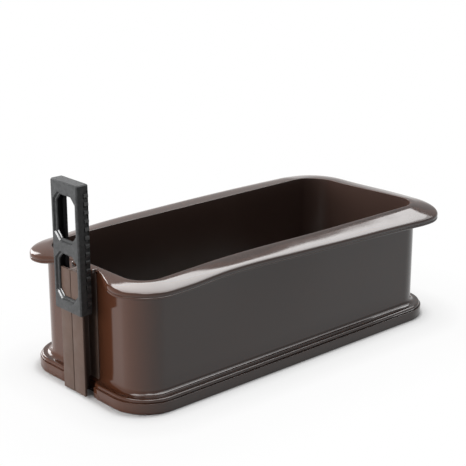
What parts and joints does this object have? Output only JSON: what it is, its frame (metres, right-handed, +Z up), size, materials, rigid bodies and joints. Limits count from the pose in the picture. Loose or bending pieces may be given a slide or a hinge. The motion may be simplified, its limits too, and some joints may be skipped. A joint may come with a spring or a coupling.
{
  "type": "rectangular baking mold",
  "caption": "loaf-shaped baking mold: a soft silicone wall with a rolled flange, split at one end, clamped round a base plate by a slide lock on a T-shaped rail",
  "frame": {"origin": "middle of the foot rim on the table, at the centre of the baking space", "axes": "+X along the mold's length, away from the lock; +Y across its width; +Z up"},
  "size_m": [0.2697, 0.128, 0.1316],
  "materials": {
    "silicone": "glossy dark brown silicone, matte on the rail",
    "plate": "smoke-tinted tempered glass",
    "lock": "matte dark grey nylon"
  },
  "bodies": {
    "mold": {"silicone_band": "silicone", "base_plate": "plate"},
    "lock": {"slide_lock": "lock"}
  },
  "joints": [
    {"name": "lock_slide", "type": "slide", "parent": "mold", "child": "lock", "axis": [0, 0, 1], "range_m": [-0.0502, 0.03]}
  ]
}
